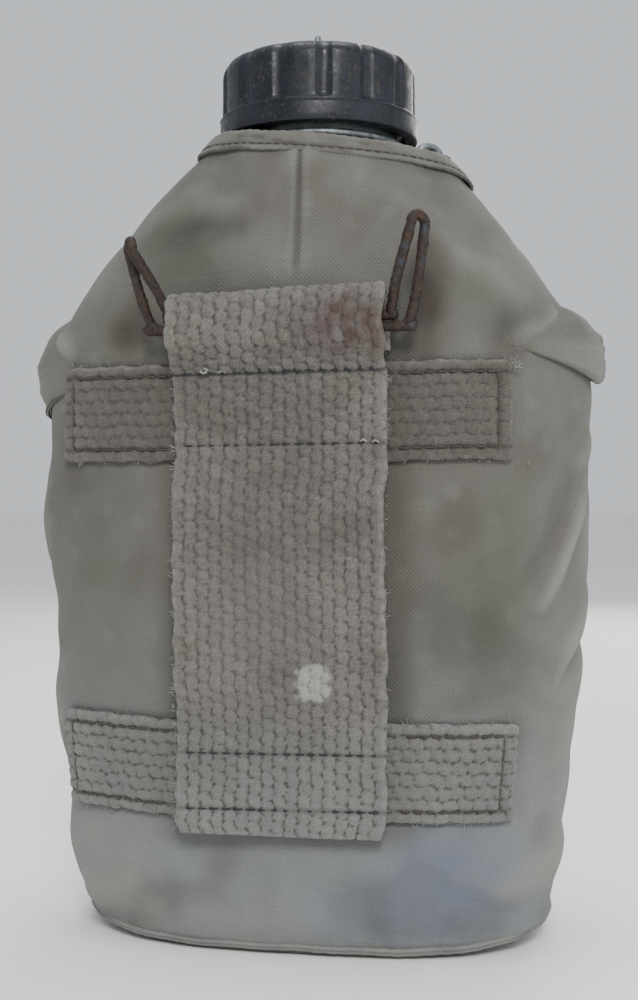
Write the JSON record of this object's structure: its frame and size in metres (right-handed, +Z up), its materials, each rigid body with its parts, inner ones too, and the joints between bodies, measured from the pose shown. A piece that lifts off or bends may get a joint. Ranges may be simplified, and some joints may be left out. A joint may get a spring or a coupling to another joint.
{
  "type": "canteen",
  "caption": "Flat aluminium canteen with a fluted screw cap on a chain, in a lined canvas cover with webbing straps, snapped flaps and a wire belt hook.",
  "frame": {"origin": "middle of the base, where the canteen stands", "axes": "+Z up along the bottle to the cap, -Y out of the back with the belt webbing, +X to the right as seen from the back"},
  "size_m": [0.1508, 0.0995, 0.2387],
  "materials": {
    "canvas": "faded olive-grey cotton duck",
    "felt": "grey wool felt",
    "webbing": "worn grey-brown cotton webbing",
    "aluminium": "dull oxidised",
    "steel_wire": "dull drawn wire",
    "cap_plastic": "moulded, dusty",
    "seal_rubber": "matt",
    "rusted_wire": "rusted",
    "dark_brass": "darkened"
  },
  "bodies": {
    "root": {"bottle_shell": "aluminium", "neck_spout": "aluminium", "neck_ring": "steel_wire", "chain_lower_links": "steel_wire", "back_panel": "canvas", "front_panel": "canvas", "base_panel": "canvas", "base_piping": "canvas", "neck_binding": "webbing", "lining_back": "felt", "lining_front": "felt", "lining_base": "felt", "shoulder_fold_left": "canvas", "shoulder_fold_right": "canvas", "upper_cross_strap": "webbing", "lower_cross_strap": "webbing", "belt_webbing": "webbing", "snap_studs": "dark_brass", "snap_washers": "dark_brass"},
    "swivel": {"cap_swivel": "steel_wire"},
    "cap": {"cap_shell": "cap_plastic", "cap_seal": "seal_rubber"},
    "right_flap": {"flap_right": "canvas", "snap_cap_right": "dark_brass", "snap_socket_right": "dark_brass"},
    "left_flap": {"flap_left": "canvas", "snap_cap_left": "dark_brass", "snap_socket_left": "dark_brass"},
    "hook": {"belt_hook": "rusted_wire"},
    "chain_1": {"chain_link_1": "steel_wire"},
    "chain_2": {"chain_link_2": "steel_wire"},
    "chain_3": {"chain_link_3": "steel_wire"},
    "chain_4": {"chain_link_4": "steel_wire"},
    "chain_5": {"chain_link_5": "steel_wire"},
    "chain_6": {"chain_link_6": "steel_wire"},
    "chain_7": {"chain_link_7": "steel_wire"},
    "chain_8": {"chain_link_8": "steel_wire"},
    "chain_9": {"chain_link_9": "steel_wire"}
  },
  "joints": [
    {"name": "cap_lift", "type": "slide", "parent": "root", "child": "swivel", "axis": [0, 0, 1], "range_m": [0, 0.0105]},
    {"name": "cap_turn", "type": "hinge", "parent": "swivel", "child": "cap", "pos_m": [0, 0, 0.21], "axis": [0, 0, 1], "range_deg": [0, 720]},
    {"name": "chain_pivot_1", "type": "hinge", "parent": "root", "child": "chain_1", "pos_m": [0, 0.0327, 0.2045], "axis": [1, 0, 0], "range_deg": [-1, 24.57]},
    {"name": "chain_pivot_2", "type": "hinge", "parent": "chain_1", "child": "chain_2", "pos_m": [0, 0.03869, 0.20611], "axis": [1, 0, 0], "range_deg": [-20.03, 1]},
    {"name": "chain_pivot_3", "type": "hinge", "parent": "chain_2", "child": "chain_3", "pos_m": [0, 0.04419, 0.21494], "axis": [1, 0, 0], "range_deg": [-7.37, 1]},
    {"name": "chain_pivot_4", "type": "hinge", "parent": "chain_3", "child": "chain_4", "pos_m": [0, 0.04354, 0.2211], "axis": [1, 0, 0], "range_deg": [-4.42, 1]},
    {"name": "chain_pivot_5", "type": "hinge", "parent": "chain_4", "child": "chain_5", "pos_m": [0, 0.03787, 0.22983], "axis": [1, 0, 0], "range_deg": [-2.65, 1]},
    {"name": "chain_pivot_6", "type": "hinge", "parent": "chain_5", "child": "chain_6", "pos_m": [0, 0.03277, 0.23334], "axis": [1, 0, 0], "range_deg": [-3.66, 1]},
    {"name": "chain_pivot_7", "type": "hinge", "parent": "chain_6", "child": "chain_7", "pos_m": [0, 0.02261, 0.2356], "axis": [1, 0, 0], "range_deg": [-2.1, 1]},
    {"name": "chain_pivot_8", "type": "hinge", "parent": "chain_7", "child": "chain_8", "pos_m": [0, 0.01643, 0.23517], "axis": [1, 0, 0], "range_deg": [-3.05, 1]},
    {"name": "chain_pivot_9", "type": "hinge", "parent": "chain_8", "child": "chain_9", "pos_m": [0, 0.00619, 0.23338], "axis": [1, 0, 0], "range_deg": [-1, 3.93]},
    {"name": "flap_right_open", "type": "hinge", "parent": "root", "child": "right_flap", "pos_m": [0.03086, 0.0204, 0.1985], "axis": [0.5092, 0.1355, -0.8499], "range_deg": [0, 110]},
    {"name": "flap_left_open", "type": "hinge", "parent": "root", "child": "left_flap", "pos_m": [-0.03086, 0.0204, 0.1985], "axis": [0.5092, -0.1355, 0.8499], "range_deg": [0, 110]},
    {"name": "hook_swing", "type": "hinge", "parent": "root", "child": "hook", "pos_m": [-0.0025, -0.04145, 0.154], "axis": [1, 0, 0], "range_deg": [-8, 35]}
  ],
  "couplings": [
    {"joint": "cap_lift", "follows": "cap_turn", "m_per_rad": 0.00079577},
    {"joint": "chain_pivot_1", "follows": "cap_turn", "ratio": 0.032735},
    {"joint": "chain_pivot_2", "follows": "cap_turn", "ratio": -0.026428},
    {"joint": "chain_pivot_3", "follows": "cap_turn", "ratio": -0.0088528},
    {"joint": "chain_pivot_4", "follows": "cap_turn", "ratio": -0.0047474},
    {"joint": "chain_pivot_5", "follows": "cap_turn", "ratio": -0.0022933},
    {"joint": "chain_pivot_6", "follows": "cap_turn", "ratio": -0.0036995},
    {"joint": "chain_pivot_7", "follows": "cap_turn", "ratio": -0.0015258},
    {"joint": "chain_pivot_8", "follows": "cap_turn", "ratio": -0.0028473},
    {"joint": "chain_pivot_9", "follows": "cap_turn", "ratio": 0.0040726}
  ]
}
